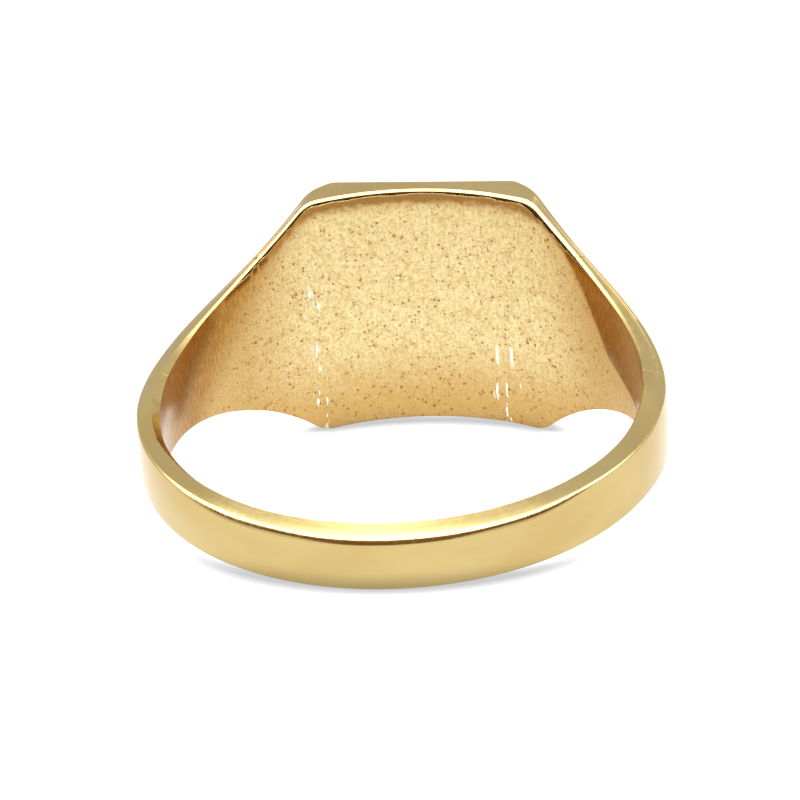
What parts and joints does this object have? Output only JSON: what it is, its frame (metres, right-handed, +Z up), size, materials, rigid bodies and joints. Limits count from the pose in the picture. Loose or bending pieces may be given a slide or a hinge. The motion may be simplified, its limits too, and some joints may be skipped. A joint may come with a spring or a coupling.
{
  "type": "signet ring",
  "caption": "Yellow gold signet ring with a plain flat rectangular head, hollow-curved shoulders, a sheet-lined back and a slim plain shank.",
  "frame": {"origin": "centre of the finger hole", "axes": "+Z up from the table the ring lies on, +Y towards the signet head, +X across the finger; the finger hole's axis leans back from +Z, away from the head, by the angle at which the ring rests"},
  "size_m": [0.0198, 0.0207, 0.0102],
  "materials": {
    "polished_gold": "polished 9 ct yellow gold, lightly worn",
    "pickled_gold": "matt pickled 9 ct gold sheet with small pits",
    "gold_solder": "filed flush, slightly paler than the metal",
    "dark_solder": "oxidised dark brown in the seam"
  },
  "bodies": {
    "root": {"signet_head": "polished_gold", "left_shoulder": "polished_gold", "right_shoulder": "polished_gold", "shank": "polished_gold", "back_lining": "pickled_gold", "lining_seam": "dark_solder", "left_head_solder": "gold_solder", "right_head_solder": "gold_solder", "left_shank_solder": "gold_solder", "right_shank_solder": "gold_solder"}
  },
  "joints": []
}
